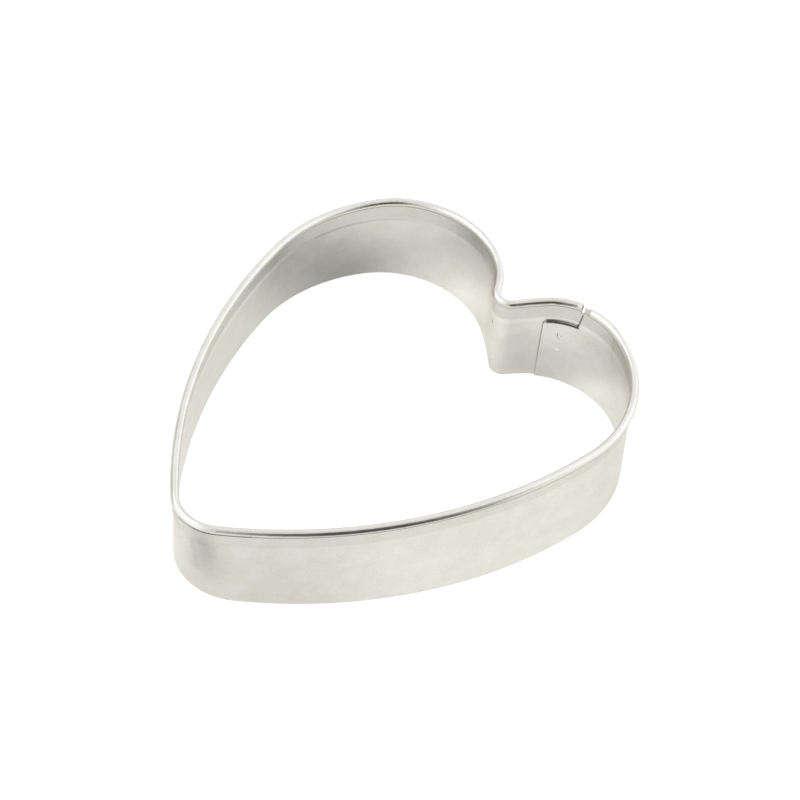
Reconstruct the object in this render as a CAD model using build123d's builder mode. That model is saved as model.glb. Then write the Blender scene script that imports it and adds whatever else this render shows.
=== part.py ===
from build123d import *
import os
from math import atan2, cos, degrees, radians, sin, sqrt
from typing import NamedTuple

# A heart-shaped pastry cutter, bent from one strip of tinplate. The strip stands on its
# cutting edge, its top edge is rolled outward into a safety bead, and its two ends lap and
# are spot welded on the lobe at +X. +Y points at the lobes, -Y at the tip.

# The strip: sheet is its thickness and strip_height its full height, bead included
strip_height = 19.0
sheet = 0.3

# The rolled hem: a hollow bead on top, and a leg that comes down outside the wall to a raw
# edge. The wall has a crease below the leg, where the hemming tool gripped it.
bead_diameter = 1.49
hem_depth = 3.05
hem_slit = 0.05
crease_drop = 1.15

# The seam: the hem is cut away over the tab, which laps inside the other end. The tab's top
# edge lies this far below the crease. Past the notch, a gap between the strip's two ends cuts
# this far down from the top, to just below the bead.
tab_drop = 0.85
gap_depth = 1.8
lap_gap = 0.05
tab_corner_radius = 0.8

# Directions, in degrees as seen from the centre of the seam lobe's crown: where the upright
# end of the tab lies, at the foot and at the rim, and where the tab leaves its lap. Then
# where the outer layer ends, below the gap and beside it, and past the gap, where the wall
# stands up again and where its bead starts.
foot_tab_angle = 131.0
rim_tab_angle = 143.5
tab_root_angle = 108.0
lap_end_angle = 105.0
hem_end_angle = 108.5
stub_angle = 105.5
bead_start_angle = 100.5

# The spot welds, each a nugget through both layers of the lap, dished by the electrodes. The
# upper one lies this far below the tab's top edge.
weld_diameter = 1.1
weld_dish = 0.05
weld_angle = 121.5
weld_drop = 3.5
weld_spacing = 3.1

# The outline at the foot, along the middle of the sheet. A lobe's half width is measured
# from the line through cleft and tip, and each lobe is a shoulder, a crown, a side and a
# flank arc that run into one another.
foot_length = 83.3
foot_cleft_depth = 8.55
foot_cleft_radius = 2.1
foot_tip_radius = 10.55
foot_seam_half_width = 35.05
foot_plain_half_width = 35.95

# The same outline at the rim. The hand-bent wall leans: out at the tip, in at the sides.
rim_length = 86.25
rim_cleft_depth = 9.65
rim_cleft_radius = 2.55
rim_tip_radius = 7.05
rim_seam_half_width = 34.45
rim_seam_lobe_rise = 0.55
rim_plain_half_width = 34.55

# The radii of each lobe's crown and shoulder, as shares of its half width
foot_seam_radius_shares = (0.410, 1.582)
foot_plain_radius_shares = (0.468, 1.510)
rim_seam_radius_shares = (0.300, 1.784)
rim_plain_radius_shares = (0.470, 0.433)

# Directions, in degrees, at which one arc of a lobe runs into the next
foot_seam_turns = (143.0, 66.5, -5.0)
foot_plain_turns = (124.5, 30.0, -12.5)
rim_seam_turns = (143.0, 76.5, -4.5)
rim_plain_turns = (126.0, 30.0, -10.0)


class Lobe(NamedTuple):
    """One half of the outline: its sizes, and where its arcs meet."""

    half_width: float
    rise: float
    crown_share: float
    shoulder_share: float
    shoulder_turn: float
    side_turn: float
    flank_turn: float


class Outline(NamedTuple):
    """The heart at one height, along the middle of the sheet."""

    top: float
    tip: float
    cleft_depth: float
    cleft_radius: float
    tip_radius: float
    tab_angle: float
    seam: Lobe
    plain: Lobe


class Bend(NamedTuple):
    """An arc of the outline. A hollow one has the heart's outside at its centre."""

    centre: Vector
    radius: float
    start: float
    end: float
    hollow: bool = False


rim_middle = rim_length / 2
rim = Outline(
    top=rim_middle - rim_seam_lobe_rise,
    tip=-rim_middle,
    cleft_depth=rim_cleft_depth,
    cleft_radius=rim_cleft_radius,
    tip_radius=rim_tip_radius,
    tab_angle=rim_tab_angle,
    seam=Lobe(
        rim_seam_half_width, rim_seam_lobe_rise, *rim_seam_radius_shares, *rim_seam_turns
    ),
    plain=Lobe(rim_plain_half_width, 0.0, *rim_plain_radius_shares, *rim_plain_turns),
)
foot = Outline(
    top=rim_middle,
    tip=rim_middle - foot_length,
    cleft_depth=foot_cleft_depth,
    cleft_radius=foot_cleft_radius,
    tip_radius=foot_tip_radius,
    tab_angle=foot_tab_angle,
    seam=Lobe(foot_seam_half_width, 0.0, *foot_seam_radius_shares, *foot_seam_turns),
    plain=Lobe(foot_plain_half_width, 0.0, *foot_plain_radius_shares, *foot_plain_turns),
)

# Heights above the cutting edge
leg_end = strip_height - hem_depth
crease_height = leg_end - crease_drop
tab_top = crease_height - tab_drop
gap_bottom = strip_height - gap_depth
upper_weld_height = tab_top - weld_drop

# The tab's middle lies this far inside the middle of the layer that it laps
lap_step = sheet + lap_gap


def toward(angle):
    """The unit vector at an angle in degrees."""
    return Vector(cos(radians(angle)), sin(radians(angle)))


def angle_of(vector):
    return degrees(atan2(vector.Y, vector.X))


def blend(low, high, share):
    """The sizes of an outline that lies between two others."""
    mixed = []
    for a, b in zip(low, high):
        mixed.append(blend(a, b, share) if isinstance(a, tuple) else a + (b - a) * share)
    return type(low)(*mixed)


def half(outline, lobe):
    """The bends of one half, from the cleft to the tip, with the axis at x = 0."""
    crown_radius = lobe.half_width * lobe.crown_share
    shoulder_radius = lobe.half_width * lobe.shoulder_share
    cleft_radius = outline.cleft_radius
    tip_radius = outline.tip_radius
    cleft = Vector(0, outline.top - outline.cleft_depth + cleft_radius)
    tip = Vector(0, outline.tip + tip_radius)

    # The shoulder touches the cleft's circle and holds the crown's
    shoulder_to_crown = toward(lobe.shoulder_turn) * (shoulder_radius - crown_radius)
    shoulder_y = outline.top + lobe.rise - crown_radius - shoulder_to_crown.Y
    reach = shoulder_radius + cleft_radius
    shoulder = Vector(sqrt(reach**2 - (shoulder_y - cleft.Y) ** 2), shoulder_y)
    crown = shoulder + shoulder_to_crown

    # The side takes the outline out to its half width
    leading = cos(radians(lobe.side_turn))
    side_radius = (lobe.half_width - crown.X - crown_radius * leading) / (1 - leading)
    side = crown - toward(lobe.side_turn) * (side_radius - crown_radius)

    # The flank leaves the side and touches the tip's circle
    out = toward(lobe.flank_turn)
    span = side - tip
    shrink = side_radius - tip_radius
    growth = (span.dot(span) - shrink**2) / (2 * (shrink + span.dot(out)))
    flank = side - out * growth

    cleft_turn = angle_of(shoulder - cleft)
    tip_turn = angle_of(tip - flank)
    return [
        Bend(cleft, cleft_radius, -90, cleft_turn, hollow=True),
        Bend(shoulder, shoulder_radius, cleft_turn + 180, lobe.shoulder_turn),
        Bend(crown, crown_radius, lobe.shoulder_turn, lobe.side_turn),
        Bend(side, side_radius, lobe.side_turn, lobe.flank_turn),
        Bend(flank, side_radius + growth, lobe.flank_turn, tip_turn),
        Bend(tip, tip_radius, tip_turn, -90),
    ]


def mirrored(bend):
    """A bend of the other half, travelled from the tip to the cleft."""
    centre = Vector(-bend.centre.X, bend.centre.Y)
    return Bend(centre, bend.radius, 180 - bend.end, 180 - bend.start, bend.hollow)


def route(outline):
    """The strip's bends, clockwise from the tab's end round to the outer layer's end."""
    cleft, shoulder, crown, side, flank, tip = half(outline, outline.seam)
    far_cleft, far_shoulder, far_crown, far_side, far_flank, far_tip = [
        mirrored(bend) for bend in half(outline, outline.plain)
    ]

    # The tab runs inside the crown, and its closing bend joins it to the side without a kink
    tab = Bend(crown.centre, crown.radius - lap_step, outline.tab_angle, tab_root_angle)
    out = toward(tab_root_angle)
    root = tab.centre + out * tab.radius - side.centre
    closing_radius = (side.radius**2 - root.dot(root)) / (2 * (side.radius - root.dot(out)))
    closing_centre = side.centre + root - out * closing_radius
    closing_turn = angle_of(closing_centre - side.centre)
    closing = Bend(closing_centre, closing_radius, tab_root_angle, closing_turn)

    return [
        tab,
        closing,
        side._replace(start=closing_turn),
        flank,
        tip._replace(end=far_tip.end - 360),
        far_flank,
        far_side,
        far_crown,
        far_shoulder,
        far_cleft._replace(end=cleft.end + 360),
        shoulder,
        crown._replace(end=lap_end_angle),
    ]


def spot(bend, angle, out):
    """A point of a bend, moved out of the heart by the distance given."""
    radius = bend.radius - out if bend.hollow else bend.radius + out
    return bend.centre + toward(angle) * radius


def run(bends, out):
    """Three points of each arc of the line that keeps a distance out of the bends."""
    arcs = []
    for bend in bends:
        middle = (bend.start + bend.end) / 2
        arcs.append([spot(bend, angle, out) for angle in (bend.start, middle, bend.end)])
    return arcs


def band(bends):
    """The sheet's cross-section along the bends."""
    outer = run(bends, sheet / 2)
    inner = run(bends, -sheet / 2)
    with BuildSketch(Plane.XY, mode=Mode.PRIVATE) as section:
        with BuildLine():
            for arc in outer + inner:
                ThreePointArc(*arc)
            Line(outer[0][0], inner[0][0])
            Line(outer[-1][-1], inner[-1][-1])
        make_face()
    return section.sketch


rim_route = route(rim)
foot_route = route(foot)
tab_route = route(blend(foot, rim, tab_top / crease_height))

root_bend = rim_route[1]
last_bend = rim_route[-1]
later_bends = rim_route[2:]


def slanted(height):
    """The root's bend from the notch's slanted end on, which takes it back to the gap."""
    share = (height - tab_top) / (gap_bottom - tab_top)
    return root_bend._replace(start=tab_root_angle + (stub_angle - tab_root_angle) * share)


# Above the tab the strip starts at the tab's root
neck_route = tab_route[1:]
crease_route = [slanted(crease_height)] + later_bends
leg_route = [slanted(leg_end)] + later_bends
bead_route = [root_bend._replace(start=bead_start_angle)] + later_bends
bead_route[-1] = last_bend._replace(end=hem_end_angle)

# Plain wall, without a hem, on the two sides of the gap
low_stub_route = [slanted(leg_end)._replace(end=bead_start_angle)]
stub_route = [slanted(gap_bottom)._replace(end=bead_start_angle)]
sill_route = [last_bend._replace(start=hem_end_angle)]

bead_radius = bead_diameter / 2
bead_middle = strip_height - bead_radius
hem_middle = (sheet + hem_slit) / 2
hem_half = sheet + hem_slit / 2
outer_meeting = bead_middle - sqrt(bead_radius**2 - hem_half**2)
bore_radius = bead_radius - sheet
bore_meeting = bead_middle - sqrt(bore_radius**2 - (hem_slit / 2) ** 2)
wall_in = hem_middle - hem_half
wall_out = wall_in + sheet
leg_out = hem_middle + hem_half
leg_in = leg_out - sheet

# Each nugget lies square to the lap, in the middle of its two layers
nugget_half = sheet + lap_gap / 2 - weld_dish
weld_planes = []
for height in (upper_weld_height, upper_weld_height - weld_spacing):
    lap = route(blend(foot, rim, height / crease_height))[-1]
    place = spot(lap, weld_angle, -lap_step / 2) + Vector(0, 0, height)
    weld_planes.append(Plane(origin=place, x_dir=(0, 0, 1), z_dir=toward(weld_angle)))

with BuildPart() as cutter_strip:
    # The wall, full length up to the tab's top edge
    with BuildSketch(Plane.XY):
        add(band(foot_route))
    with BuildSketch(Plane.XY.offset(tab_top)):
        add(band(tab_route))
    loft(ruled=True)

    # The wall from the tab's top edge to the crease, and on to the leg's raw edge
    with BuildSketch(Plane.XY.offset(tab_top)):
        add(band(neck_route))
    with BuildSketch(Plane.XY.offset(crease_height)):
        add(band(crease_route))
    loft(ruled=True)
    with BuildSketch(Plane.XY.offset(crease_height)):
        add(band(crease_route))
    with BuildSketch(Plane.XY.offset(leg_end)):
        add(band(leg_route))
    loft(ruled=True)

    # The stub of plain wall between the gap and the bead
    with BuildSketch(Plane.XY.offset(leg_end)):
        add(band(low_stub_route))
    with BuildSketch(Plane.XY.offset(gap_bottom)):
        add(band(stub_route))
    loft(ruled=True)
    with BuildSketch(Plane.XY.offset(gap_bottom)):
        add(band(stub_route))
    extrude(amount=gap_depth)

    # The outer layer's plain end, which closes the gap below the bead
    with BuildSketch(Plane.XY.offset(leg_end)):
        add(band(sill_route))
    extrude(amount=gap_bottom - leg_end)

    # The hem: the wall goes up, round the bead and down again as the leg
    start = bead_route[0]
    outward = toward(start.start)
    heading = outward.rotate(Axis.Z, -90)
    with BuildLine() as hem_line:
        for arc in run(bead_route, 0):
            ThreePointArc(*arc)
    hem_plane = Plane(origin=spot(start, start.start, 0), x_dir=outward, z_dir=heading)
    with BuildSketch(hem_plane):
        with BuildLine():
            Line((wall_in, leg_end), (wall_in, outer_meeting))
            ThreePointArc(
                (wall_in, outer_meeting),
                (hem_middle, strip_height),
                (leg_out, outer_meeting),
            )
            Line((leg_out, outer_meeting), (leg_out, leg_end))
            Line((leg_out, leg_end), (leg_in, leg_end))
            Line((leg_in, leg_end), (leg_in, bore_meeting))
            ThreePointArc(
                (leg_in, bore_meeting),
                (hem_middle, bead_middle + bore_radius),
                (wall_out, bore_meeting),
            )
            Line((wall_out, bore_meeting), (wall_out, leg_end))
            Line((wall_out, leg_end), (wall_in, leg_end))
        make_face()
    sweep(path=hem_line.line)

    # The tab's free corner is rounded
    corner = spot(tab_route[0], tab_route[0].start, 0) + Vector(0, 0, tab_top)
    corner_edge = cutter_strip.edges().sort_by_distance(corner)[0]
    fillet(corner_edge, radius=tab_corner_radius)

    # The holes that the nuggets fill
    for plane in weld_planes:
        with BuildSketch(plane):
            Circle(weld_diameter / 2)
        extrude(amount=lap_step * 2, both=True, mode=Mode.SUBTRACT)

with BuildPart() as spot_welds:
    for plane in weld_planes:
        with BuildSketch(plane):
            Circle(weld_diameter / 2)
        extrude(amount=nugget_half, both=True)

# The origin lies under the middle of the cutter, on the surface that it stands on
middle = cutter_strip.part.bounding_box().center()
home = Location((-middle.X, -middle.Y, 0))

os.makedirs("parts", exist_ok=True)

cutter_strip.part.label = "cutter_strip"
cutter_strip.part.move(home)
export_step(cutter_strip.part, "parts/cutter_strip.step")

spot_welds.part.label = "spot_welds"
spot_welds.part.move(home)
export_step(spot_welds.part, "parts/spot_welds.step")
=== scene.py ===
from math import cos, radians, sin, tan

import bpy
from mathutils import Matrix, Vector

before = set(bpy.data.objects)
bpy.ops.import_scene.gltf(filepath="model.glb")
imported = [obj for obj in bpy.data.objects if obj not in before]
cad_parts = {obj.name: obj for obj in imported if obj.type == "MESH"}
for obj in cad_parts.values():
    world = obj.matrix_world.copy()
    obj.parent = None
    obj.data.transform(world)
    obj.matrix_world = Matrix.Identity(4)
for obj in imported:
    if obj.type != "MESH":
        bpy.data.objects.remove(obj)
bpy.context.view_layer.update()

MM = 0.001
ORIGIN = Vector((0, 0, 0))
WHITE = (1, 1, 1, 1)

# The camera: where it stands as seen from its target, its tilt, and its lens in mm
CAMERA_TARGET = Vector((-5.615, 17.034, 0.0)) * MM
CAMERA_AZIMUTH = -53.596
CAMERA_ELEVATION = 45.891
CAMERA_ROLL = 9.138
CAMERA_DISTANCE = 762.6 * MM
CAMERA_LENS = 198.0
CAMERA_SENSOR = 36.0
CAMERA_CLIP_NEAR = 10 * MM
CAMERA_CLIP_FAR = 20.0

# Tin plate: two shades of its colour and roughness, and its colour at a grazing angle
TIN_DARK = (0.665, 0.645, 0.575, 1)
TIN_LIGHT = (0.79, 0.77, 0.72, 1)
TIN_EDGE = (0.84, 0.83, 0.80, 1)
TIN_SMOOTH = 0.27
TIN_ROUGH = 0.33

# Its noises: the size of the lumps, then detail and roughness. The mottle and the specks
# share the colour, the waves and the grain are bumps with a strength and a depth.
MOTTLE = (4 * MM, 4.0, 0.6)
SPECKS = (0.3 * MM, 2.0, 0.7)
SPECK_SHARE = 0.55
WAVES = (14 * MM, 1.0, 0.5)
WAVE_BUMP = (0.3, 0.1 * MM)
GRAIN = (0.12 * MM, 2.0, 0.6)
GRAIN_BUMP = (0.25, 0.002 * MM)

# The middle part of a noise's values that is spread over the whole of a ramp
NARROW_PART = (0.35, 0.65)
WIDE_PART = (0.3, 0.7)

# Weld marks, in the same way
WELD_DARK = (0.64, 0.62, 0.56, 1)
WELD_LIGHT = (0.88, 0.87, 0.83, 1)
WELD_SMOOTH = 0.3
WELD_ROUGH = 0.42
WELD_BLOTS = (0.5 * MM, 3.0, 0.6)
WELD_BUMP = (0.8, 0.08 * MM)

# Belts of painted shade on the hem band below the bead, of a painted highlight along the
# crease inside, and of painted shade in the grooves along the bead: the heights of both
# edges, and how far a belt fades beyond them. Then its strength outside and inside.
HEM_BELT = (15.0 * MM, 17.3 * MM, 0.4 * MM)
HEM_SHADE = (0.09, 0.16)
CREASE_BELT = (14.0 * MM, 14.7 * MM, 0.4 * MM)
CREASE_HIGHLIGHT = (0.0, 0.2)
GROOVE_BELT = (17.72 * MM, 18.1 * MM, 0.15 * MM)
GROOVE_SHADE = (0.6, 0.35)
# The colour of the painted highlight along the crease inside
HIGHLIGHT_COLOUR = (0.9, 0.88, 0.84, 1)
# Near black: the colour of the painted shade, and of the nicks
SHADE_AND_NICK_COLOUR = (0.035, 0.032, 0.027, 1)

# How far past the heart's middle a face's plane lies when the face is wholly in or outside
FACING_FADE = 1 * MM

# Where a stroke starts to fade and where it ends, as shares of its half width
STROKE_FADE = (0.5, 1.5)

# Dark lines: both ends and half the width in mm, and how dark the line is
DARK_LINES = [
    # The seam: painted shadow along the tab's top edge, up the notch, and at the two ends of
    # the gap
    ((6.50, 39.21, 13.84), (7.56, 40.28, 13.84), 0.2, 0.9),
    ((7.56, 40.28, 13.84), (9.13, 41.40, 13.84), 0.22, 0.97),
    ((9.13, 41.40, 13.84), (11.02, 42.26, 13.84), 0.22, 0.97),
    ((10.79, 42.55, 13.65), (11.30, 42.70, 16.85), 0.17, 0.75),
    ((11.05, 42.26, 13.95), (11.55, 42.41, 17.10), 0.09, 0.7),
    ((10.90, 42.60, 17.15), (10.90, 42.60, 18.70), 0.13, 0.4),
    ((12.64, 42.61, 17.61), (12.71, 42.25, 18.25), 0.1, 0.6),
    ((12.71, 42.25, 18.25), (12.67, 42.46, 18.78), 0.1, 0.6),
    ((12.67, 42.46, 18.78), (12.58, 42.98, 19.00), 0.1, 0.6),
    ((12.00, 42.54, 17.90), (12.10, 42.56, 18.80), 0.45, 0.2),
    ((11.70, 42.45, 17.60), (12.60, 42.65, 17.90), 0.12, 0.4),
    # Two nicks, beside the upper weld and near the cleft, and a streak of painted shade down
    # the tip
    ((8.17, 40.84, 10.40), (8.06, 40.75, 11.30), 0.1, 0.6),
    ((-0.90, 33.45, 12.70), (-0.80, 33.50, 11.90), 0.15, 0.7),
    ((1.50, -42.80, 14.50), (1.92, -41.20, 6.50), 0.5, 0.09),
    # Painted shade in the groove round the tip, and on the bead's inner side next to the gap
    ((-3.50, -42.80, 17.88), (-0.77, -43.74, 17.88), 0.35, 0.5),
    ((-0.77, -43.74, 17.88), (2.12, -43.62, 17.88), 0.38, 0.8),
    ((2.12, -43.62, 17.88), (4.77, -42.47, 17.88), 0.38, 0.9),
    ((4.77, -42.47, 17.88), (9.72, -37.99, 17.88), 0.36, 0.85),
    ((9.72, -37.99, 17.88), (13.64, -33.84, 17.88), 0.3, 0.6),
    ((7.31, 39.98, 18.55), (8.32, 40.88, 18.60), 0.2, 0.65),
    ((8.32, 40.88, 18.60), (9.46, 41.65, 18.68), 0.2, 0.7),
    ((9.46, 41.65, 18.68), (10.06, 42.01, 18.75), 0.18, 0.6),
]

# The studio: a white floor, pale surroundings and a soft light
SKY_STRENGTH = 0.92
FLOOR_SIZE = 6.0
FLOOR_DROP = 0.02 * MM
FLOOR_GLOW = 0.85
FLOOR_ALBEDO = 0.3
LIGHT_SIZE = 0.45
LIGHT_AZIMUTH = 190.0
LIGHT_ELEVATION = 55.0
LIGHT_DISTANCE = 0.9
LIGHT_POWER = 1.0

# The floor that the metal mirrors, and where it is shaded or, below zero, lit: x, y and a
# radius in mm, and the share of the light that is lost in the middle
MIRRORED_GLOW = 1.11
SHADES = [
    (-50.7, 19.3, 58.9, 0.16),
    (7.6, 36.5, 14.1, 0.33),
    (14.0, -34.0, 28.0, 0.18),
    (4.0, -52.0, 14.0, 0.42),
    (-9.0, -37.0, 9.0, -0.12),
    (-36.0, 24.0, 16.0, 0.32),
    (-15.2, 43.7, 10.0, 0.21),
    (-30.1, 32.4, 15.6, 0.5),
    (-15.3, 41.8, 7.2, -0.4),
    (14.5, 39.0, 5.5, -0.2),
]

# Cards that the metal mirrors: a name, the azimuth, half the width in degrees, the elevation
# of the top edge as seen from the object, the glow, and how far away the top edge is. The
# black card and the dark piece of floor before it make the bead's dark line.
CARD_DISTANCE = 0.6
CARD_STEP = 4.0
CARD_COLOUR = (0.96, 0.98, 1.03, 1)
CARDS = [
    ("black_card", -20.5, 25.5, 55.0, 0.0, CARD_DISTANCE),
    ("dark_floor", -20.5, 25.5, 0.0, 0.16, 60 * MM),
    ("side_card", 62.0, 41.0, 62.0, 1.4, CARD_DISTANCE),
    ("back_card", 134.0, 31.0, 60.0, 1.12, CARD_DISTANCE),
    ("front_card", -116.0, 38.0, 74.0, 1.4, CARD_DISTANCE),
    ("left_card", -172.0, 18.0, 26.0, 0.62, CARD_DISTANCE),
]


def direction(azimuth, elevation):
    """The unit vector at an azimuth, counted from +X towards +Y, and an elevation."""
    turn, rise = radians(azimuth), radians(elevation)
    return Vector((cos(turn) * cos(rise), sin(turn) * cos(rise), sin(rise)))


def aimed(target, azimuth, elevation, distance):
    """The place and the turn of a camera or a light that looks back at its target."""
    away = direction(azimuth, elevation)
    turn = away.to_track_quat("Z", "Y").to_matrix().to_4x4()
    return Matrix.Translation(target + away * distance) @ turn


def link(name, data):
    """Puts a new object into the scene."""
    piece = bpy.data.objects.new(name, data)
    bpy.context.scene.collection.objects.link(piece)
    return piece


def add_camera():
    data = bpy.data.cameras.new("camera")
    data.lens = CAMERA_LENS
    data.sensor_width = CAMERA_SENSOR
    data.clip_start = CAMERA_CLIP_NEAR
    data.clip_end = CAMERA_CLIP_FAR
    camera = link("camera", data)
    tilt = Matrix.Rotation(radians(CAMERA_ROLL), 4, "Z")
    place = aimed(CAMERA_TARGET, CAMERA_AZIMUTH, CAMERA_ELEVATION, CAMERA_DISTANCE)
    camera.matrix_world = place @ tilt
    bpy.context.scene.camera = camera


class Nodes:
    """A short way to add shader nodes and link them."""

    def __init__(self, tree):
        self.tree = tree
        tree.nodes.clear()

    def add(self, kind, inputs=None, **settings):
        """Adds a node. An input is a number, a colour or the output of another node."""
        node = self.tree.nodes.new(kind)
        for name, value in settings.items():
            setattr(node, name, value)
        for name, value in (inputs or {}).items():
            if isinstance(value, bpy.types.NodeSocket):
                self.tree.links.new(value, node.inputs[name])
            else:
                node.inputs[name].default_value = value
        return node

    def show(self, kind, inputs, output="ShaderNodeOutputMaterial"):
        """Adds a shader, and makes it the surface."""
        shader = self.add(kind, inputs)
        self.add(output, {"Surface": shader.outputs[0]})

    def noise(self, place, size, detail, roughness):
        """Noise whose lumps are about the size given, in metres."""
        inputs = {"Vector": place, "Scale": 1 / size, "Detail": detail, "Roughness": roughness}
        return self.add("ShaderNodeTexNoise", inputs).outputs["Fac"]

    def ramp(self, value, low, high, start, end, curve="LINEAR"):
        """Maps a value between low and high to start and end."""
        inputs = {
            "Value": value,
            "From Min": low,
            "From Max": high,
            "To Min": start,
            "To Max": end,
        }
        node = self.add("ShaderNodeMapRange", inputs, interpolation_type=curve)
        return node.outputs["Result"]

    def math(self, operation, *values, clamp=False):
        """A sum, product or maximum of two numbers."""
        inputs = dict(enumerate(values))
        node = self.add("ShaderNodeMath", inputs, operation=operation, use_clamp=clamp)
        return node.outputs["Value"]

    def vector(self, operation, first, second):
        """A difference, product or measure of two vectors."""
        inputs = {0: first, 1: second}
        outputs = self.add("ShaderNodeVectorMath", inputs, operation=operation).outputs
        return outputs["Value" if operation in ("DISTANCE", "DOT_PRODUCT") else "Vector"]

    def stroke(self, place, start, end, half_width):
        """One on the line between two places, and fading to nothing beside it."""
        along = end - start
        past = self.vector("SUBTRACT", place, start)
        share = self.vector("DOT_PRODUCT", past, along / along.length_squared)
        nearest = self.vector("MULTIPLY", self.math("ADD", share, 0.0, clamp=True), along)
        reach = self.vector("DISTANCE", past, nearest)
        fade_start, fade_end = STROKE_FADE
        return self.ramp(reach, half_width * fade_start, half_width * fade_end, 1.0, 0.0)

    def belt(self, height, low, high, soft):
        """One between two heights, fading to nothing over a short way beyond them."""
        rise = self.ramp(height, low - soft, low, 0.0, 1.0)
        fall = self.ramp(height, high, high + soft, 1.0, 0.0)
        return self.math("MULTIPLY", rise, fall)

    def mix(self, share, first, second):
        """Mixes two colours, by the sockets that the node keeps for them."""
        inputs = {0: share, 6: first, 7: second}
        return self.add("ShaderNodeMix", inputs, data_type="RGBA").outputs[2]

    def bump(self, height, strength, depth, **under):
        """A bumpy normal, on top of the Normal given."""
        inputs = {"Height": height, "Strength": strength, "Distance": depth, **under}
        return self.add("ShaderNodeBump", inputs).outputs["Normal"]


def new_material(name):
    """A material, and the nodes that make it."""
    material = bpy.data.materials.new(name)
    material.use_nodes = True
    return material, Nodes(material.node_tree)


def tinplate():
    """Satin tin plate: a faint mottle, fine specks and grain on a slightly wavy sheet, with
    painted shade along the hem band, in the grooves at the bead and in dark lines at the seam,
    and a painted highlight along the crease inside."""
    material, nodes = new_material("tinplate")
    coordinates = nodes.add("ShaderNodeTexCoord").outputs
    place = coordinates["Object"]
    mottle, specks, grain, waves = [
        nodes.noise(place, *noise) for noise in (MOTTLE, SPECKS, GRAIN, WAVES)
    ]
    blend = nodes.math("MULTIPLY", nodes.ramp(mottle, *NARROW_PART, 0.0, 1.0), 1 - SPECK_SHARE)
    dots = nodes.math("MULTIPLY", nodes.ramp(specks, *WIDE_PART, 0.0, 1.0), SPECK_SHARE)
    colour = nodes.mix(nodes.math("ADD", blend, dots), TIN_DARK, TIN_LIGHT)

    # A face that looks towards the heart's middle is inside
    facing = nodes.vector("DOT_PRODUCT", place, coordinates["Normal"])
    inside = nodes.ramp(facing, -FACING_FADE, FACING_FADE, 1.0, 0.0)
    height = nodes.add("ShaderNodeSeparateXYZ", {"Vector": place}).outputs["Z"]
    hem_shade, crease_highlight, groove_shade = [
        nodes.math("MULTIPLY", nodes.belt(height, *belt), nodes.ramp(inside, 0.0, 1.0, *share))
        for belt, share in (
            (HEM_BELT, HEM_SHADE),
            (CREASE_BELT, CREASE_HIGHLIGHT),
            (GROOVE_BELT, GROOVE_SHADE),
        )
    ]
    # Painted shade from the hem band and the grooves, then from the dark lines, which also
    # hold two nicks
    dark = nodes.math("MAXIMUM", hem_shade, groove_shade)
    for start, end, half_width, darkness in DARK_LINES:
        line = nodes.stroke(place, Vector(start) * MM, Vector(end) * MM, half_width * MM)
        dark = nodes.math("MAXIMUM", dark, nodes.math("MULTIPLY", line, darkness))

    # The colour takes the painted highlight along the crease, then the painted shade and the
    # nicks
    inputs = {
        "Base Color": nodes.mix(dark, nodes.mix(crease_highlight, colour, HIGHLIGHT_COLOUR), SHADE_AND_NICK_COLOUR),
        "Roughness": nodes.ramp(mottle, *WIDE_PART, TIN_SMOOTH, TIN_ROUGH),
        "Metallic": 1.0,
        "Specular Tint": TIN_EDGE,
        "Normal": nodes.bump(grain, *GRAIN_BUMP, Normal=nodes.bump(waves, *WAVE_BUMP)),
    }
    nodes.show("ShaderNodeBsdfPrincipled", inputs)
    return material


def weld_marks():
    """The faintly darkened dimples that the welding electrodes leave."""
    material, nodes = new_material("weld_marks")
    place = nodes.add("ShaderNodeTexCoord").outputs["Object"]
    blots = nodes.noise(place, *WELD_BLOTS)
    share = nodes.ramp(blots, *NARROW_PART, 0.0, 1.0)
    inputs = {
        "Base Color": nodes.mix(share, WELD_DARK, WELD_LIGHT),
        "Roughness": nodes.ramp(blots, *WIDE_PART, WELD_SMOOTH, WELD_ROUGH),
        "Metallic": 1.0,
        "Normal": nodes.bump(blots, *WELD_BUMP),
    }
    nodes.show("ShaderNodeBsdfPrincipled", inputs)
    return material


def dress(node, material):
    """Gives a CAD node its material."""
    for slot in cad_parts[node].material_slots:
        slot.material = material


def floor_material():
    """A matt floor that glows a little, so it stays white in the shade."""
    material, nodes = new_material("floor")
    inputs = {
        "Base Color": (FLOOR_ALBEDO, FLOOR_ALBEDO, FLOOR_ALBEDO, 1),
        "Roughness": 1.0,
        "Emission Color": WHITE,
        "Emission Strength": FLOOR_GLOW,
    }
    nodes.show("ShaderNodeBsdfPrincipled", inputs)
    return material


def shaded_material():
    """Even light from below, dimmed in the named places."""
    material, nodes = new_material("mirrored_floor")
    place = nodes.add("ShaderNodeNewGeometry").outputs["Position"]
    glow = MIRRORED_GLOW
    for x, y, radius, loss in SHADES:
        away = nodes.vector("DISTANCE", place, Vector((x, y, 0.0)) * MM)
        dim = nodes.ramp(away, 0.0, radius * MM, 1 - loss, 1.0, "SMOOTHSTEP")
        glow = nodes.math("MULTIPLY", glow, dim)
    nodes.show("ShaderNodeEmission", {"Color": WHITE, "Strength": glow})
    return material


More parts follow.
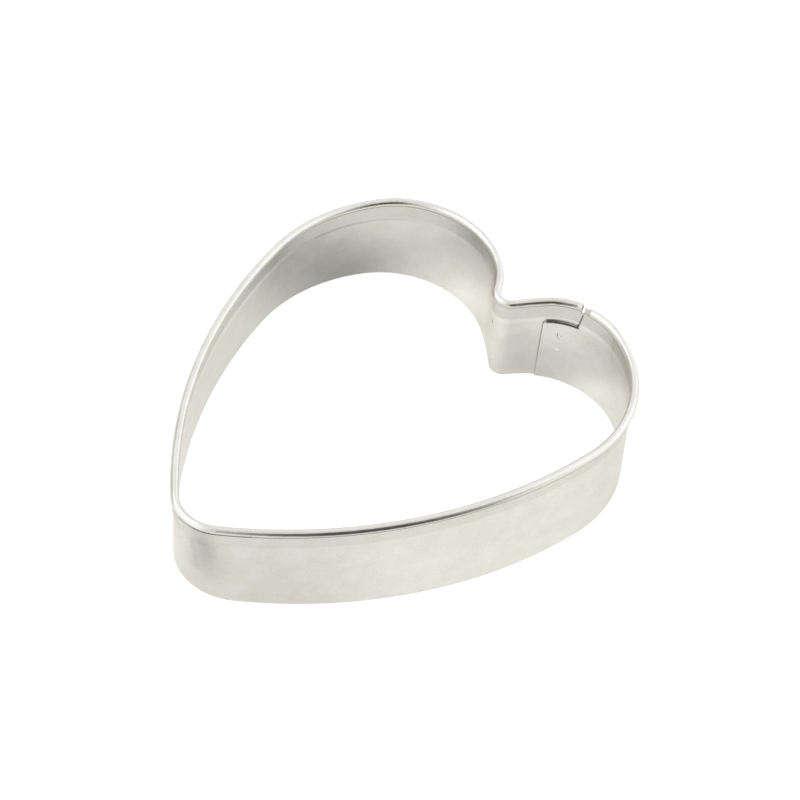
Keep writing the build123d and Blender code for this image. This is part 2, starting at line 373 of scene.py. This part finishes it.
def add_floor(name, drop, material):
    half = FLOOR_SIZE / 2
    mesh = bpy.data.meshes.new(name)
    corners = [(-half, -half, 0), (half, -half, 0), (half, half, 0), (-half, half, 0)]
    mesh.from_pydata(corners, [], [(0, 1, 2, 3)])
    mesh.materials.append(material)
    floor = link(name, mesh)
    floor.location.z = -drop
    return floor


def add_floors():
    """Two floors, one close above the other. The camera sees the upper one, and the metal
    mirrors the lower one."""
    seen = add_floor("floor", FLOOR_DROP, floor_material())
    seen.visible_glossy = False
    seen.visible_diffuse = False
    seen.visible_shadow = False
    mirrored = add_floor("mirrored_floor", 2 * FLOOR_DROP, shaded_material())
    mirrored.visible_camera = False


def add_card(name, azimuth, half_angle, top_elevation, glow, top_distance):
    """A curved card that only reflections see. It stands beside the object, or lies on the
    floor when its top edge has no height."""
    top_height = CARD_DISTANCE * tan(radians(top_elevation))
    mesh = bpy.data.meshes.new(name)
    steps = round(2 * half_angle / CARD_STEP)
    corners = []
    for step in range(steps + 1):
        away = direction(azimuth + half_angle * (2 * step / steps - 1), 0)
        corners += [away * CARD_DISTANCE, away * top_distance + Vector((0, 0, top_height))]
    faces = [(first, first + 2, first + 3, first + 1) for first in range(0, 2 * steps, 2)]
    mesh.from_pydata(corners, [], faces)
    piece = link(name, mesh)
    piece.visible_camera = False
    piece.visible_diffuse = False
    piece.visible_shadow = False
    material, nodes = new_material(name)
    nodes.show("ShaderNodeEmission", {"Color": CARD_COLOUR, "Strength": glow})
    mesh.materials.append(material)


def add_sky():
    world = bpy.data.worlds.new("studio")
    world.use_nodes = True
    inputs = {"Color": WHITE, "Strength": SKY_STRENGTH}
    Nodes(world.node_tree).show("ShaderNodeBackground", inputs, "ShaderNodeOutputWorld")
    bpy.context.scene.world = world


def add_softbox():
    light = bpy.data.lights.new("softbox", "AREA")
    light.size = LIGHT_SIZE
    light.energy = LIGHT_POWER
    softbox = link("softbox", light)
    softbox.matrix_world = aimed(ORIGIN, LIGHT_AZIMUTH, LIGHT_ELEVATION, LIGHT_DISTANCE)


add_camera()
dress("cutter_strip", tinplate())
dress("spot_welds", weld_marks())
add_floors()
for card in CARDS:
    add_card(*card)
add_sky()
add_softbox()
bpy.context.scene.view_settings.view_transform = "Standard"
